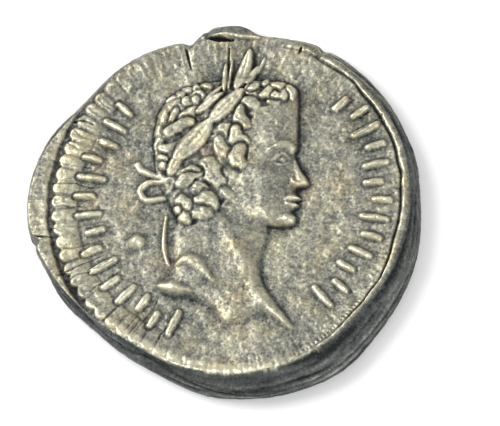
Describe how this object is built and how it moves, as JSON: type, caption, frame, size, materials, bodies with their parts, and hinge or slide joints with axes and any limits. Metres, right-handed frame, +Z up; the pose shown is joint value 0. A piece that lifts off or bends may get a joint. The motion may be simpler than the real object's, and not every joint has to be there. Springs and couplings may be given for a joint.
{
  "type": "coin",
  "caption": "Struck silver coin with a laureate head in relief, a beaded border and rows of strokes for the legend; worn, toned, off centre, with a thick uneven edge.",
  "frame": {"origin": "middle of the bounding box, on the surface that the coin lies on", "axes": "+Z up out of the obverse, +Y towards the crown of the head, +X the way the head faces"},
  "size_m": [0.0192, 0.0192, 0.0019],
  "materials": {
    "silver": null
  },
  "bodies": {
    "root": {"coin": "silver"}
  },
  "joints": []
}
